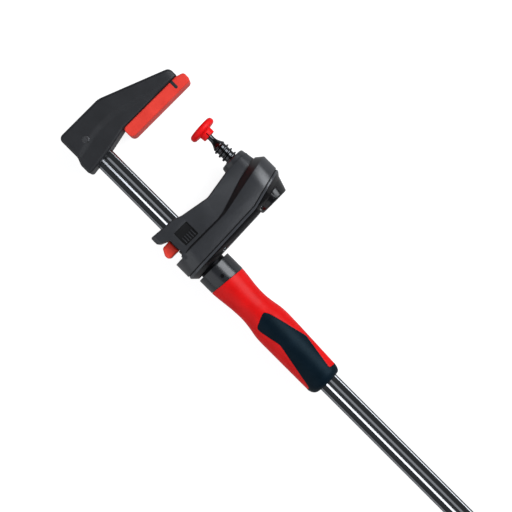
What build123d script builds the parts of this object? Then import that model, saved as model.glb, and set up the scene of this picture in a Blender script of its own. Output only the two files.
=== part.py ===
from build123d import *
from math import acos, cos, pi, radians, sin, sqrt, tan
import os

# Quick release bar clamp with a gear-driven spindle, in millimetres.
# The clamp lies on its side. +X runs along the rail from the fixed jaw to the handle, +Y runs from
# the rail to the spindle, and +Z points up out of the side. The origin is on the rail's axis, in
# the plane of the fixed pad's clamping face.

# ---- Driving dimensions ----

# fits
running_gap = 0.05            # radial clearance of a shaft or slide that moves

# rail
rail_width = 16.0             # Y
rail_thickness = 7.5          # Z
rail_corner = 1.0
rail_front = -34.0            # end buried in the fixed jaw
rail_back = 495.0
groove_mouth = 7.8            # groove rolled in each broad face
groove_floor = 5.2
groove_depth = 1.2
throat_depth = 60.0           # rail edge to spindle axis
spindle_y = rail_width / 2 + throat_depth

# fixed jaw and its pad
jaw_back = -39.2
jaw_seat = -9.9               # face that carries the pad
jaw_tip_reach = 14.7          # jaw beyond the spindle axis
jaw_tip_width = 7.1
jaw_shoulder_y = 27.3         # where the back starts to lean
jaw_heel_x = -19.0            # the spine steps down from the heel to the foot
jaw_heel_y = -13.8
jaw_foot_x = -13.0
jaw_foot_y = -16.2
jaw_toe_x = -3.2
jaw_throat_x = -5.9           # throat-side edge beside the rail
jaw_throat_y = 7.0
jaw_half = 13.1               # half-thickness
jaw_edge_round = 2.4
jaw_tip_round = 4.5
jaw_shoulder_round = 15.0
jaw_pin_x = -24.5
jaw_pin_radius = 2.5
jaw_pin_head_radius = 3.2
jaw_pin_head_depth = 1.6
jaw_panel_depth = 0.9         # hollow along the throat side of the jaw
pad_bottom = 25.4
pad_top_reach = 20.1          # pad beyond the spindle axis
pad_top_width = 7.8
pad_half = 13.1
pad_face_chamfer = 1.3
pad_lug_half = 3.0            # snap lugs into the jaw
pad_lug_long = 6.0
pad_lug_depth = 2.5
pad_lug_inset = 14.0          # lug centres from the ends of the jaw's seat
pad_slot_x = -5.3
pad_slot_inset = 6.9          # below the jaw's tip
pad_slot_length = 5.8
pad_slot_width = 2.6
pad_slot_depth = 1.5
end_stop_inset = 8.0
end_stop_radius = 2.0
end_stop_proud = 2.0

# gear case
case_radius = 19.0            # half-thickness and end radius
case_front = 84.6             # front plane at the bend
case_front_bend = 34.0        # height where the front plane starts to lean
case_front_lean = 11.4        # degrees
case_front_chamfer = 5.6
case_bend_round = 20.0
seam_x = 100.9                # parting line at its bend
seam_bend = 54.2
seam_lean_tip = 14.7          # degrees, above the bend
seam_lean_rail = 2.2          # degrees, below the bend
cover_depth = 7.0             # parting line to rear face
cover_inset = 0.35            # step that shows the parting line
cover_rear_chamfer = 4.5

# arm in front of the gear case
arm_half = 17.5
arm_edge_round = 1.2
arm_spine = -8.7              # edge of the walls beside the rail
arm_foot = -17.9              # end of the front lug
lug_front = 63.4
lug_rear = 70.4
lug_root = 74.6               # where the lug's back meets the spine
spine_rear = 87.8
heel_x = 89.6                 # step from the spine up to the gear case
heel_y = -11.4
throat_root_x = 65.2          # throat-side edge, from the rail to the nose
throat_root_y = 4.0
throat_bend_x = 67.8
throat_bend_y = 11.0
throat_waist_x = 71.9         # halfway up
throat_tip_x = 68.0
throat_tip_drop = 11.0        # below the spindle axis
arm_flat_drop = 40.0          # below the spindle axis, where the sides start to lean in
arm_foot_lean = 3.0           # sides lean in again at the foot
nose_front = 63.5
nose_front_radius = 10.3
nose_rear = 76.5
nose_rear_radius = 12.4
recess_x = 73.3
recess_y = -3.1
recess_width = 12.9
recess_height = 13.4
recess_depth = 1.0
recess_ribs = 6

# gear train
pressure_angle = 20.0         # degrees
drive_teeth = 28
idler_teeth = 21              # two idlers
nut_teeth = 24
backlash = 0.08               # taken off each tooth at the pitch circle
gear_front = 93.4
gear_width = 7.5
chamber_gap_end = 0.4         # between gear faces and chamber walls
chamber_gap_tip = 0.6         # between tooth tips and chamber walls
idler_shaft_radius = 3.0
idler_shaft_seat = 3.6        # depth that the shaft sits in each wall
washer_radius = 9.5
washer_thickness = 1.2

# spindle and its nut
thread_radius = 5.9
thread_front = 49.4
thread_length = 36.0
nut_radius = 8.0
nut_front = 67.0
nut_engaged = 14.0
bush_length = 3.3
key_width = 2.0
keyway_depth = 1.2
neck_radius = 2.3
neck_rear = 42.5
flare_radius = 5.2
thread_lead_in = 0.7
thread_end_chamfer = 0.8
ball_radius = 3.2
ball_x = 36.5
cap_end = 109.7
cap_wall = 2.0
cap_end_radius = 12.9
cap_base_radius = 16.2
cap_base = 98.0

# pressure plate
plate_radius = 11.2
plate_thickness = 4.6
plate_setback = 7.1           # ball centre to clamping face
plate_collar_radius = 5.15
plate_collar_length = 2.8     # behind the ball centre
plate_tilt = 3.3              # degrees, as it hangs
plate_socket_lip = 1.2        # behind the ball centre, where the socket's mouth starts
plate_mouth_radius = 2.55
plate_mouth_flare = 0.5
plate_slot = 0.8

# handle
handle_front = 111.9
handle_back = 235.2
handle_radius = 15.35
handle_waist_radius = 12.35
handle_waist_x = 149.0
handle_swell_x = 180.0        # where the grip reaches its full radius
handle_nose = 7.2             # length of the rounded end
handle_end_radius = 9.9
handle_bore = 9.3
hub_radius = 11.2
hub_end = 124.0
spigot_radius = 13.0
collar_radius = 15.05
collar_end = 126.8            # at the axis
collar_slant = 5.7            # degrees
collar_pin_x = 121.4
collar_pin_radius = 1.4
collar_pin_inset = 0.9        # below the collar's surface
grip_depth = 1.5
grip_cap_x = 228.6
grip_point_x = 162.9          # front point of each chevron panel, and its height off the centre line
grip_point_y = 4.6
grip_upper_x = 198.5
grip_upper_y = 13.0
grip_cap_upper_y = 8.2
grip_cap_lower_y = -13.4
grip_lower_x = 189.0
grip_lower_y = -6.2
grip_heel_x = 167.6
grip_heel_y = -10.0
flat_start = 172.0            # flat along one edge, which tapers to the handle's end
flat_start_radius = 15.7
flat_end_radius = 13.0

# quick release
lock_pivot_x = 82.0
lock_pivot_y = 12.5
lock_pack = 5.0               # both plates together
lock_gap = 0.1                # between the plates
lock_half = 8.3
lock_length = 27.5
lock_tilt = 6.0               # degrees at rest, upright when the button is pressed
cavity_front = 75.0
cavity_rear = 89.0
cavity_half = 11.3
cavity_top = 11.4
spring_radius = 10.2
spring_wire = 0.6
spring_turns = 2.5
button_half = 9.5
button_front = 74.5
button_rear = 84.4
button_top = -9.3
button_slope_rise = 0.25      # above the plates' end, where the front face starts to slope
button_tip_x = 80.2
button_wall = 5.15            # below the plates' end

# cover screws
screw_radius = 1.5
screw_head_radius = 2.7
screw_head_height = 2.0
screw_length = 16.0
screw_z = 13.2
screw_rail_y = 15.5
screw_tip_y = 57.0

# ---- Sizes that follow ----

# the four gears span the way from the rail's axis to the spindle's
gear_module = 2 * spindle_y / (drive_teeth + 4 * idler_teeth + nut_teeth)
jaw_tip = spindle_y + jaw_tip_reach
pad_top = spindle_y + pad_top_reach
gear_back = gear_front + gear_width
chamber_front = gear_front - chamber_gap_end
chamber_back = gear_back + chamber_gap_end
drive_radius = gear_module * drive_teeth / 2
idler_radius = gear_module * idler_teeth / 2
nut_gear_radius = gear_module * nut_teeth / 2
idler_a_y = drive_radius + idler_radius
idler_b_y = idler_a_y + 2 * idler_radius
SPINDLE_AXIS = Axis((0, spindle_y, 0), (1, 0, 0))
thread_end = thread_front + thread_length
chamber_tip = gear_module + chamber_gap_tip      # from a gear's pitch circle to the chamber's wall
lock_end_y = lock_pivot_y - lock_length * cos(radians(lock_tilt))
OUTSIDE = 2 * (spindle_y + jaw_tip_reach)        # reach of a cutting block, well outside the clamp
THROUGH = 2 * handle_back                        # length of a bore that runs right through

os.makedirs("parts", exist_ok=True)


def write(piece, name):
    """Label a finished piece and write its STEP file."""
    piece.label = name
    export_step(piece, f"parts/{name}.step")


def across(x):
    """Plane square to the rail at x, with sketch axes Y and Z."""
    return Plane.YZ.offset(x)


def front_line_x(y):
    """Front plane of the gear case at height y, above the bend."""
    return case_front - (y - case_front_bend) * tan(radians(case_front_lean))


def seam_at(y):
    """Parting line at height y: two straight runs that meet at the bend."""
    lean = seam_lean_tip if y > seam_bend else seam_lean_rail
    return seam_x - (y - seam_bend) * tan(radians(lean))


# ---- Rail, fixed jaw, pad and pins ----

with BuildPart() as rail:
    with BuildSketch(across(rail_front)) as rail_section:
        RectangleRounded(rail_width, rail_thickness, rail_corner)
        with BuildLine():
            Polyline(
                (-groove_mouth / 2, rail_thickness / 2),
                (groove_mouth / 2, rail_thickness / 2),
                (groove_floor / 2, rail_thickness / 2 - groove_depth),
                (-groove_floor / 2, rail_thickness / 2 - groove_depth),
                close=True,
            )
        make_face(mode=Mode.SUBTRACT)
        with BuildLine():
            Polyline(
                (-groove_mouth / 2, -rail_thickness / 2),
                (groove_mouth / 2, -rail_thickness / 2),
                (groove_floor / 2, -rail_thickness / 2 + groove_depth),
                (-groove_floor / 2, -rail_thickness / 2 + groove_depth),
                close=True,
            )
        make_face(mode=Mode.SUBTRACT)
    extrude(amount=rail_back - rail_front)
    with Locations((jaw_pin_x, 0, 0)):
        Hole(jaw_pin_radius, depth=rail_thickness)
    with Locations((rail_back - end_stop_inset, 0, 0)):
        Hole(end_stop_radius, depth=rail_thickness)
write(rail.part, "rail")

pad_lugs = [(jaw_seat, pad_bottom + pad_lug_inset, 0), (jaw_seat, jaw_tip - pad_lug_inset, 0)]
with BuildPart() as fixed_jaw:
    with BuildSketch() as jaw_outline:
        with BuildLine():
            FilletPolyline(
                (jaw_back, jaw_heel_y),
                (jaw_heel_x, jaw_heel_y),
                (jaw_foot_x, jaw_foot_y),
                (jaw_toe_x, jaw_foot_y),
                (jaw_throat_x, jaw_throat_y),
                (jaw_seat, pad_bottom),
                (jaw_seat, jaw_tip),
                (jaw_seat - jaw_tip_width, jaw_tip),
                (jaw_back, jaw_shoulder_y),
                radius=[4, 6, 6, 2, 60, 4, 0.8, jaw_tip_round, jaw_shoulder_round],
                close=True,
            )
        make_face()
    extrude(amount=jaw_half, both=True)
    fillet(fixed_jaw.faces().filter_by(Axis.Z).edges(), jaw_edge_round)
    # the throat side is hollowed a little behind a long sweeping edge, on both faces
    with BuildSketch(Plane.XY.offset(jaw_half)) as jaw_panel:
        with BuildLine():
            panel_sweep = Spline(
                (jaw_seat - jaw_tip_width, -rail_width / 2 - 1),
                (jaw_seat - 1.5 * jaw_tip_width, 0.3 * spindle_y),
                (jaw_seat - jaw_tip_width, 0.73 * spindle_y),
                (jaw_seat - jaw_edge_round - 0.5, jaw_tip - jaw_tip_width),
            )
            Polyline(
                panel_sweep @ 1,
                (jaw_seat - jaw_edge_round - 0.5, pad_bottom + 4),
                (jaw_throat_x - jaw_edge_round, jaw_throat_y - 3),
                (jaw_throat_x - 1.1, -rail_width / 2 - 1),
                panel_sweep @ 0,
            )
        make_face()
    extrude(amount=-jaw_panel_depth, mode=Mode.SUBTRACT)
    mirror(about=Plane.XY, mode=Mode.INTERSECT)
    add(rail.part, mode=Mode.SUBTRACT)
    with Locations((jaw_pin_x, 0, 0)):
        Cylinder(jaw_pin_radius, 2 * jaw_half, mode=Mode.SUBTRACT)
    with Locations((jaw_pin_x, 0, jaw_half), (jaw_pin_x, 0, -jaw_half)):
        Cylinder(jaw_pin_head_radius, 2 * jaw_pin_head_depth, mode=Mode.SUBTRACT)
    with Locations(*pad_lugs):
        Box(2 * pad_lug_depth, 2 * pad_lug_half, 2 * pad_lug_long, mode=Mode.SUBTRACT)
write(fixed_jaw.part, "fixed_jaw")

with BuildPart() as jaw_pin:
    with BuildSketch(Plane.XZ) as jaw_pin_profile:
        with BuildLine():
            Polyline(
                (0, -jaw_half - 0.2),
                (jaw_pin_head_radius - 0.7, -jaw_half - 0.2),
                (jaw_pin_head_radius, -jaw_half + 0.4),
                (jaw_pin_head_radius, -jaw_half + jaw_pin_head_depth),
                (jaw_pin_radius, -jaw_half + jaw_pin_head_depth),
                (jaw_pin_radius, jaw_half - jaw_pin_head_depth),
                (jaw_pin_head_radius, jaw_half - jaw_pin_head_depth),
                (jaw_pin_head_radius, jaw_half - 0.4),
                (jaw_pin_head_radius - 0.7, jaw_half + 0.2),
                (0, jaw_half + 0.2),
                close=True,
            )
        make_face()
    revolve(axis=Axis.Z)
jaw_pin_placed = jaw_pin.part.moved(Location((jaw_pin_x, 0, 0)))
write(jaw_pin_placed, "jaw_pin")

with BuildPart() as fixed_jaw_pad:
    with BuildSketch() as pad_outline:
        with BuildLine():
            FilletPolyline(
                (jaw_seat, pad_bottom),
                (0, pad_bottom),
                (0, pad_top),
                (-pad_top_width, pad_top),
                (jaw_seat, jaw_tip - 1),
                radius=[3.0, 4.0, 3.0, 2.6, 0],
                close=True,
            )
        make_face()
    extrude(amount=pad_half, both=True)
    chamfer(fixed_jaw_pad.faces().sort_by(Axis.X)[-1].edges().filter_by(Axis.Y), pad_face_chamfer)
    fillet(fixed_jaw_pad.faces().filter_by(Axis.Z).edges().filter_by(Axis.Y), 0.5)
    with Locations(*pad_lugs):
        Box(2 * pad_lug_depth, 2 * pad_lug_half, 2 * pad_lug_long)
    # relief slot beside the upper lug, on both sides
    pad_slot_y = jaw_tip - pad_slot_inset
    with Locations((pad_slot_x, pad_slot_y, pad_half), (pad_slot_x, pad_slot_y, -pad_half)):
        Box(pad_slot_length, pad_slot_width, 2 * pad_slot_depth, mode=Mode.SUBTRACT)
write(fixed_jaw_pad.part, "fixed_jaw_pad")

with BuildPart() as rail_end_stop:
    Cylinder(end_stop_radius, rail_thickness + 2 * end_stop_proud)
    chamfer(rail_end_stop.edges().filter_by(GeomType.CIRCLE), 0.4)
write(rail_end_stop.part.moved(Location((rail_back - end_stop_inset, 0, 0))), "rail_end_stop")


# ---- Gear case: one form, parted into the arm housing and the rear cover ----


def case_block(radius):
    """Obround bar along X, cut to the leaning front and rear outlines, with chamfered rims."""
    with BuildPart() as block:
        with BuildSketch(across(case_front / 2)):
            with Locations((spindle_y / 2, 0)):
                SlotCenterToCenter(spindle_y, 2 * radius)
        extrude(amount=OUTSIDE)
        top = spindle_y + 1.5 * case_radius
        bottom = -1.5 * case_radius
        with BuildSketch():
            with BuildLine():
                FilletPolyline(
                    (front_line_x(top), top),
                    (case_front, case_front_bend),
                    (case_front, bottom),
                    (seam_at(bottom) + cover_depth, bottom),
                    (seam_x + cover_depth, seam_bend),
                    (seam_at(top) + cover_depth, top),
                    radius=[0, case_bend_round, 0, 0, case_bend_round, 0],
                    close=True,
                )
            make_face()
        extrude(amount=2 * case_radius, both=True, mode=Mode.INTERSECT)
        front_faces = block.faces().filter_by(lambda face: face.normal_at().X < -0.7)
        rear_faces = block.faces().filter_by(lambda face: face.normal_at().X > 0.7)
        front_rim = front_faces.edges().filter_by(lambda edge: abs(edge.tangent_at(0.5).Z) < 0.99
                                                  or edge.geom_type != GeomType.LINE)
        rear_rim = rear_faces.edges().filter_by(lambda edge: abs(edge.tangent_at(0.5).Z) < 0.99
                                                or edge.geom_type != GeomType.LINE)
        chamfer(front_rim, case_front_chamfer)
        chamfer(rear_rim, cover_rear_chamfer)
    return block.part


with BuildPart() as ahead_of_seam:
    with BuildSketch():
        with BuildLine():
            Polyline(
                (0, OUTSIDE),
                (seam_at(OUTSIDE), OUTSIDE),
                (seam_x, seam_bend),
                (seam_at(-OUTSIDE), -OUTSIDE),
                (0, -OUTSIDE),
                close=True,
            )
        make_face()
    extrude(amount=OUTSIDE, both=True)

with BuildPart() as gear_chamber:
    with BuildSketch(across(chamber_front)):
        for centre_y, pitch_radius in (
            (0, drive_radius),
            (idler_a_y, idler_radius),
            (idler_b_y, idler_radius),
            (spindle_y, nut_gear_radius),
        ):
            with Locations((centre_y, 0)):
                Circle(pitch_radius + chamber_tip)
    extrude(amount=OUTSIDE)

with BuildPart() as arm_front:
    with BuildSketch():
        with BuildLine():
            FilletPolyline(
                (lug_front, arm_foot),
                (lug_rear, arm_foot),
                (lug_root, arm_spine),
                (spine_rear, arm_spine),
                (heel_x, heel_y),
                (gear_front, heel_y),
                (gear_front, spindle_y + throat_tip_drop),
                (throat_tip_x, spindle_y + throat_tip_drop),
                (throat_tip_x, spindle_y - throat_tip_drop),
                (throat_waist_x, (throat_bend_y + spindle_y - throat_tip_drop) / 2),
                (throat_bend_x, throat_bend_y),
                (throat_root_x, throat_root_y),
                radius=[1.2, 2.0, 2.0, 0.4, 0, 0, 0, 0, 0, 10, 6, 3],
                close=True,
            )
        make_face()
    extrude(amount=arm_half, both=True)
    with BuildSketch(across(0)):
        with Locations((spindle_y, 0)):
            Circle(nose_rear_radius)
        with Locations((arm_foot, 0)):
            Rectangle(1.0, 2 * (arm_half - arm_foot_lean), align=(Align.MIN, Align.CENTER))
        with Locations((arm_foot + arm_foot_lean, 0)):
            Rectangle(
                spindle_y - arm_flat_drop - arm_foot - arm_foot_lean,
                2 * arm_half,
                align=(Align.MIN, Align.CENTER),
            )
        make_hull()
    extrude(amount=OUTSIDE, mode=Mode.INTERSECT)
    inner_rim = arm_front.edges().filter_by(
        lambda edge: edge.center().X < throat_waist_x + 1 and abs(edge.center().Z) > nose_front_radius - 0.3
        and rail_corner < edge.center().Y < spindle_y - throat_tip_drop
    )
    fillet(inner_rim, arm_edge_round)

with BuildPart() as arm_housing:
    add(case_block(case_radius))
    with Locations((heel_x + 1.1, arm_spine, 0)):
        Box(
            case_front, OUTSIDE, OUTSIDE,
            align=(Align.MAX, Align.MAX, Align.CENTER),
            mode=Mode.SUBTRACT,
        )
    add(arm_front.part)
    with BuildSketch() as nose_profile:
        with BuildLine():
            Polyline(
                (nose_front, spindle_y),
                (nose_front, spindle_y + nose_front_radius - 1.0),
                (nose_front + 0.8, spindle_y + nose_front_radius),
                (nose_rear, spindle_y + nose_rear_radius),
                (case_front, spindle_y + nose_rear_radius),
                (case_front, spindle_y),
                close=True,
            )
        make_face()
    revolve(axis=SPINDLE_AXIS)
    add(ahead_of_seam.part, mode=Mode.INTERSECT)
    add(gear_chamber.part, mode=Mode.SUBTRACT)
    # bore for the nut and its guide bush
    with BuildSketch(across(0)):
        with Locations((spindle_y, 0)):
            Circle(nut_radius + running_gap)
    extrude(amount=chamber_front, mode=Mode.SUBTRACT)
    # passage for the rail
    with BuildSketch(across(0)):
        Rectangle(rail_width + 2 * running_gap, rail_thickness + 2 * running_gap)
    extrude(amount=chamber_front, mode=Mode.SUBTRACT)
    # cavity for the lock plates, open at the spine, with a round seat above it
    with BuildSketch():
        with Locations((cavity_front, cavity_top)):
            Rectangle(cavity_rear - cavity_front, OUTSIDE, align=(Align.MIN, Align.MAX))
        with Locations((lock_pivot_x, lock_pivot_y)):
            Circle(lock_pack / 2 + running_gap)
            Rectangle(lock_pack + 1.2, 2.2, align=(Align.CENTER, Align.MAX))
    extrude(amount=cavity_half, both=True, mode=Mode.SUBTRACT)
    # seats of the idler shafts and pilot holes of the cover screws
    with BuildSketch(across(chamber_front - idler_shaft_seat)):
        with Locations((idler_a_y, 0), (idler_b_y, 0)):
            Circle(idler_shaft_radius)
    extrude(amount=idler_shaft_seat, mode=Mode.SUBTRACT)
    # square recess with ribs beside the lock plates
    with BuildSketch(Plane.XY.offset(arm_half)):
        with Locations((recess_x, recess_y)):
            RectangleRounded(recess_width, recess_height, 0.6, align=Align.MIN)
    extrude(amount=-recess_depth, mode=Mode.SUBTRACT)
    rib_pitch = recess_height / recess_ribs
    with BuildSketch(Plane.XY.offset(arm_half - recess_depth)):
        for rib in range(recess_ribs - 1):
            with Locations((recess_x + recess_width * 0.72, recess_y + rib_pitch * (rib + 1))):
                Rectangle(recess_width * 0.4, rib_pitch * 0.35)
    extrude(amount=recess_depth * 0.6)

with BuildPart() as gear_cover:
    add(case_block(case_radius - cover_inset))
    # cap that closes the spindle bore
    with BuildSketch():
        with BuildLine():
            FilletPolyline(
                (cap_base, spindle_y),
                (cap_base, spindle_y + cap_base_radius),
                (cap_end, spindle_y + cap_end_radius - 0.5),
                (cap_end, spindle_y),
                radius=[0, 0, 1.5, 0],
                close=True,
            )
        make_face()
    revolve(axis=SPINDLE_AXIS)
    add(ahead_of_seam.part, mode=Mode.SUBTRACT)
    # shallow plug that centres the cover in the housing's mouth
    with BuildSketch(across(chamber_back)):
        for centre_y, pitch_radius in ((0, drive_radius), (idler_a_y, idler_radius)):
            with Locations((centre_y, 0)):
                Circle(pitch_radius + chamber_tip - running_gap)
    extrude(amount=cover_depth / 2)
    with BuildSketch(across(chamber_front)):
        for centre_y, pitch_radius in ((idler_b_y, idler_radius), (spindle_y, nut_gear_radius)):
            with Locations((centre_y, 0)):
                Circle(pitch_radius + chamber_tip)
    extrude(amount=chamber_back - chamber_front, mode=Mode.SUBTRACT)
    with BuildSketch(across(0)):
        Circle(hub_radius + running_gap)
    extrude(amount=OUTSIDE, mode=Mode.SUBTRACT)
    with BuildSketch(across(chamber_back)):
        with Locations((spindle_y, 0)):
            Circle(washer_radius)
    extrude(amount=washer_thickness - chamber_gap_end + running_gap, mode=Mode.SUBTRACT)
    with BuildSketch(across(chamber_back)):
        with Locations((spindle_y, 0)):
            Circle(thread_radius + 0.7)
    extrude(amount=cap_end - cap_wall - chamber_back, mode=Mode.SUBTRACT)
    with BuildSketch(across(chamber_back)):
        with Locations((idler_a_y, 0), (idler_b_y, 0)):
            Circle(idler_shaft_radius)
    extrude(amount=idler_shaft_seat, mode=Mode.SUBTRACT)

# ---- Cover screws ----

screw_seats = [
    (seam_at(screw_rail_y) + cover_depth - 3.0, screw_rail_y),
    (seam_at(screw_tip_y) + cover_depth - 3.6, screw_tip_y),
]
with BuildPart() as cover_screws:
    for seat_x, seat_y in screw_seats:
        with BuildSketch(across(seat_x)):
            with Locations((seat_y, screw_z), (seat_y, -screw_z)):
                Circle(screw_radius)
        extrude(amount=-screw_length)
        with BuildSketch(across(seat_x)):
            with Locations((seat_y, screw_z), (seat_y, -screw_z)):
                Circle(screw_head_radius)
        extrude(amount=screw_head_height)
write(cover_screws.part, "cover_screws")

with BuildPart() as screw_holes:
    add(cover_screws.part)
    for seat_x, seat_y in screw_seats:
        with BuildSketch(across(seat_x)):
            with Locations((seat_y, screw_z), (seat_y, -screw_z)):
                Circle(screw_head_radius)
        extrude(amount=2 * cover_depth)

with BuildPart() as housing_drilled:
    add(arm_housing.part)
    add(screw_holes.part, mode=Mode.SUBTRACT)
write(housing_drilled.part, "arm_housing")

with BuildPart() as cover_drilled:
    add(gear_cover.part)
    add(screw_holes.part, mode=Mode.SUBTRACT)
write(cover_drilled.part, "gear_cover")

# ---- Gear train ----


def gear_outline(teeth, first_tooth):
    """Sketch a spur gear about the local origin, with a tooth at the angle first_tooth (degrees)."""
    pitch_radius = gear_module * teeth / 2
    base_radius = pitch_radius * cos(radians(pressure_angle))
    tip_radius = pitch_radius + gear_module
    root_radius = pitch_radius - 1.2 * gear_module

    def half_angle(radius):
        """Half of the tooth's angle at a radius, from the involute of the base circle."""
        roll = acos(min(1.0, base_radius / radius))
        roll_pitch = radians(pressure_angle)
        half_width = pi * gear_module / 4 - backlash / 2
        return half_width / pitch_radius + (tan(roll_pitch) - roll_pitch) - (tan(roll) - roll)

    flank_radii = (root_radius - 0.2, max(base_radius, root_radius), pitch_radius, tip_radius)
    flank = [(radius, half_angle(radius)) for radius in flank_radii]
    tooth = [(radius * cos(-angle), radius * sin(-angle)) for radius, angle in flank]
    tooth += [(radius * cos(angle), radius * sin(angle)) for radius, angle in reversed(flank)]
    with BuildSketch() as gear:
        Circle(root_radius)
        with PolarLocations(0, teeth, start_angle=first_tooth):
            Polygon(*tooth, align=None)
    return gear.sketch


def gear_blank(teeth, first_tooth, centre_y):
    """Spur gear of the train's width, on its own axis."""
    with BuildPart() as gear:
        with BuildSketch(across(gear_front)):
            with Locations((centre_y, 0)):
                add(gear_outline(teeth, first_tooth))
        extrude(amount=gear_width)
    return gear.part


with BuildPart() as drive_gear:
    add(gear_blank(drive_teeth, 0, 0))
    with BuildSketch(across(gear_back)):
        Circle(hub_radius)
    extrude(amount=hub_end - gear_back)
    with BuildSketch(across(0)):
        Circle(handle_bore)
    extrude(amount=OUTSIDE, mode=Mode.SUBTRACT)
    with BuildSketch(Plane.XY):
        with Locations((collar_pin_x, 0)):
            Circle(collar_pin_radius)
    extrude(amount=collar_radius, mode=Mode.SUBTRACT)
write(drive_gear.part, "drive_gear")

for name, centre_y in (("idler_gear_a", idler_a_y), ("idler_gear_b", idler_b_y)):
    with BuildPart() as idler_gear:
        add(gear_blank(idler_teeth, 0, centre_y))
        with BuildSketch(across(gear_front)):
            with Locations((centre_y, 0)):
                Circle(idler_shaft_radius + running_gap)
        extrude(amount=gear_width, mode=Mode.SUBTRACT)
    write(idler_gear.part, name)
    with BuildPart() as idler_shaft:
        with BuildSketch(across(chamber_front - idler_shaft_seat)):
            with Locations((centre_y, 0)):
                Circle(idler_shaft_radius)
        extrude(amount=chamber_back - chamber_front + 2 * idler_shaft_seat)
    write(idler_shaft.part, name.replace("gear", "shaft"))

with BuildPart() as nut_gear:
    add(gear_blank(nut_teeth, 180 / nut_teeth, spindle_y))
    with BuildSketch(across(gear_front)):
        with Locations((spindle_y, 0)):
            Circle(nut_radius)
    extrude(amount=gear_width, mode=Mode.SUBTRACT)
write(nut_gear.part, "nut_gear")

with BuildPart() as spindle_nut:
    with BuildSketch(across(nut_front)):
        with Locations((spindle_y, 0)):
            Circle(nut_radius)
            Circle(thread_radius + running_gap, mode=Mode.SUBTRACT)
    extrude(amount=gear_back - nut_front)
    with BuildSketch(across(nut_front + nut_engaged)):
        with Locations((spindle_y, 0)):
            Circle(thread_radius + 0.6)
    extrude(amount=OUTSIDE, mode=Mode.SUBTRACT)
write(spindle_nut.part, "spindle_nut")

with BuildPart() as thrust_washer:
    with BuildSketch(across(gear_back + running_gap)):
        with Locations((spindle_y, 0)):
            Circle(washer_radius)
            Circle(thread_radius + 0.7, mode=Mode.SUBTRACT)
    extrude(amount=washer_thickness)
write(thrust_washer.part, "thrust_washer")

# ---- Spindle, guide bush and pressure plate ----

with BuildPart() as guide_bush:
    with BuildSketch(across(nose_front)):
        with Locations((spindle_y, 0)):
            Circle(nut_radius + running_gap)
            Circle(thread_radius + running_gap, mode=Mode.SUBTRACT)
        # the key that stops the spindle turning
        with Locations((spindle_y, -thread_radius - 0.6)):
            Rectangle(key_width - 2 * running_gap, keyway_depth + 0.4, align=(Align.CENTER, Align.MIN))
    extrude(amount=bush_length)
write(guide_bush.part, "guide_bush")

with BuildPart() as spindle:
    ball_neck = sqrt(ball_radius**2 - neck_radius**2)
    with BuildSketch() as spindle_profile:
        with BuildLine():
            ball_arc = ThreePointArc(
                (ball_x - ball_radius, spindle_y),
                (ball_x, spindle_y + ball_radius),
                (ball_x + ball_neck, spindle_y + neck_radius),
            )
            neck = Line(ball_arc @ 1, (neck_rear, spindle_y + neck_radius))
            flare = TangentArc(neck @ 1, (thread_front, spindle_y + flare_radius), tangent=(1, 0))
            Polyline(
                flare @ 1,
                (thread_front + thread_lead_in, spindle_y + thread_radius),
                (thread_end - thread_end_chamfer, spindle_y + thread_radius),
                (thread_end, spindle_y + thread_radius - thread_end_chamfer),
                (thread_end, spindle_y),
                ball_arc @ 0,
            )
        make_face()
    revolve(axis=SPINDLE_AXIS)
    with Locations((thread_end, spindle_y, -thread_radius)):
        Box(
            thread_length + 0.5,
            key_width,
            2 * keyway_depth,
            align=(Align.MAX, Align.CENTER, Align.CENTER),
            mode=Mode.SUBTRACT,
        )
write(spindle.part, "spindle")

with BuildPart() as pressure_plate:
    # local x runs back along the spindle from the ball centre, local y is radial
    with BuildSketch() as plate_profile:
        with BuildLine():
            FilletPolyline(
                (-plate_setback, 0),
                (-plate_setback, plate_radius),
                (-plate_setback + plate_thickness, plate_radius),
                (-plate_setback + plate_thickness + 0.5, plate_collar_radius + 0.6),
                (plate_collar_length, plate_collar_radius),
                (plate_collar_length, 0),
                radius=[0, 2.0, 2.0, 0.8, 0.5, 0],
                close=True,
            )
        make_face()
    revolve(axis=Axis.X)
    Sphere(ball_radius + running_gap, mode=Mode.SUBTRACT)
    with BuildSketch() as mouth_profile:
        with BuildLine():
            Polyline(
                (plate_socket_lip, 0),
                (plate_socket_lip, plate_mouth_radius),
                (plate_collar_length, plate_mouth_radius + plate_mouth_flare),
                (plate_collar_length, 0),
                close=True,
            )
        make_face()
    revolve(axis=Axis.X, mode=Mode.SUBTRACT)
    with Locations((plate_collar_length, 0, 0)):
        Box(2 * plate_collar_length, plate_slot, 2 * plate_radius, mode=Mode.SUBTRACT)
        Box(2 * plate_collar_length, 2 * plate_radius, plate_slot, mode=Mode.SUBTRACT)
plate_placed = pressure_plate.part.moved(Location((ball_x, spindle_y, 0), (0, 0, plate_tilt)))
write(plate_placed, "pressure_plate")

# ---- Handle ----


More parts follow.
